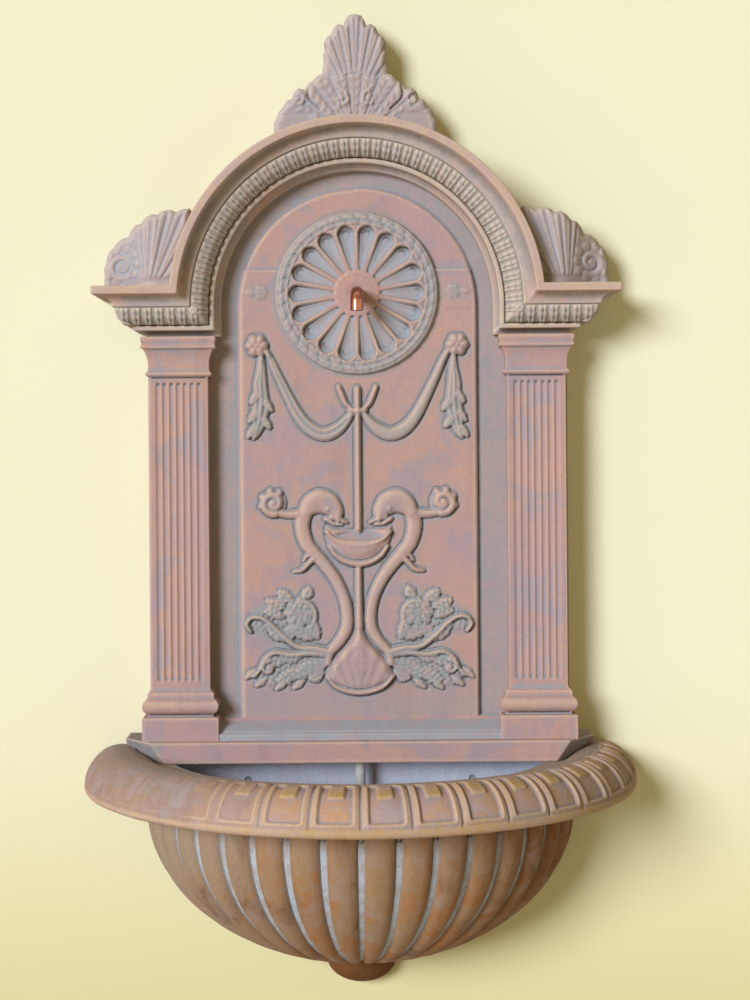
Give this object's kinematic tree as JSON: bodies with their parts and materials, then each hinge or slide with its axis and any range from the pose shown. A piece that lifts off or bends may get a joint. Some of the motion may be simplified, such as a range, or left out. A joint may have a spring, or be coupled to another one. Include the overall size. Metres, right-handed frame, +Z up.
{
  "type": "garden wall fountain",
  "caption": "Wall-hung garden fountain: half-bowl gadrooned basin, arched classical back panel with copper spout, supply tube, pump and wall hangers.",
  "frame": {"origin": "on the wall plane, at the middle of the ledge where the panel's plinth stands on the basin", "axes": "+Z up, +Y into the wall, +X to the right as seen from the front"},
  "size_m": [0.69, 0.345, 1.21],
  "materials": {
    "cast_stone": "weathered terracotta cast stone",
    "cast_stone_panel": "weathered terracotta cast stone with a blue-grey wash",
    "copper": "bright copper",
    "black_rubber": "matt",
    "brass": "machined",
    "grey_plastic": "moulded",
    "clear_vinyl": "milky clear vinyl",
    "stainless": "bright",
    "zinc_steel": "zinc plated",
    "screw_steel": "zinc plated",
    "hanger_steel": "galvanised",
    "screw_steel_hanger": "zinc plated",
    "cleat_steel": "galvanised",
    "stopper_rubber": "matt",
    "pump_plastic": "moulded",
    "volute_plastic": "moulded",
    "outlet_plastic": "moulded",
    "impeller_plastic": "moulded",
    "pump_shaft": "ground ceramic",
    "bush_rubber": "matt",
    "cover_plastic": "moulded",
    "dial_plastic": "moulded",
    "cup_rubber": "matt",
    "gland_rubber": "matt"
  },
  "bodies": {
    "basin": {"basin": "cast_stone", "wall_cleat": "cleat_steel", "pump_housing": "pump_plastic", "pump_volute_cover": "volute_plastic", "pump_outlet": "outlet_plastic", "pump_shaft": "pump_shaft", "pump_shaft_bushes": "bush_rubber", "pump_suction_cups": "cup_rubber", "pump_cable_gland": "gland_rubber"},
    "panel": {"back_panel": "cast_stone_panel", "spout": "copper", "spout_gasket": "black_rubber", "spout_locknut": "brass", "spout_elbow_fitting": "grey_plastic", "supply_tube": "clear_vinyl", "tube_clamp": "stainless", "tube_clips": "zinc_steel", "tube_clip_screws": "screw_steel", "panel_hanger": "hanger_steel", "panel_hanger_screws": "screw_steel_hanger"},
    "impeller": {"pump_impeller": "impeller_plastic"},
    "intake_cover": {"pump_intake_cover": "cover_plastic"},
    "flow_dial": {"pump_flow_dial": "dial_plastic"},
    "stopper": {"cord_stopper": "stopper_rubber"}
  },
  "joints": [
    {"name": "panel_lift", "type": "slide", "parent": "basin", "child": "panel", "axis": [0, 0, 1], "range_m": [0, 0.03]},
    {"name": "impeller_spin", "type": "hinge", "parent": "basin", "child": "impeller", "pos_m": [0, -0.052, -0.172], "axis": [1, 0, 0], "continuous": true},
    {"name": "intake_cover_slide", "type": "slide", "parent": "basin", "child": "intake_cover", "axis": [-1, 0, 0], "range_m": [0, 0.03]},
    {"name": "flow_dial_turn", "type": "hinge", "parent": "intake_cover", "child": "flow_dial", "pos_m": [-0.04, -0.052, -0.172], "axis": [-1, 0, 0], "range_deg": [0, 120]},
    {"name": "stopper_pull", "type": "slide", "parent": "basin", "child": "stopper", "axis": [0, -1, 0], "range_m": [0, 0.03]}
  ]
}
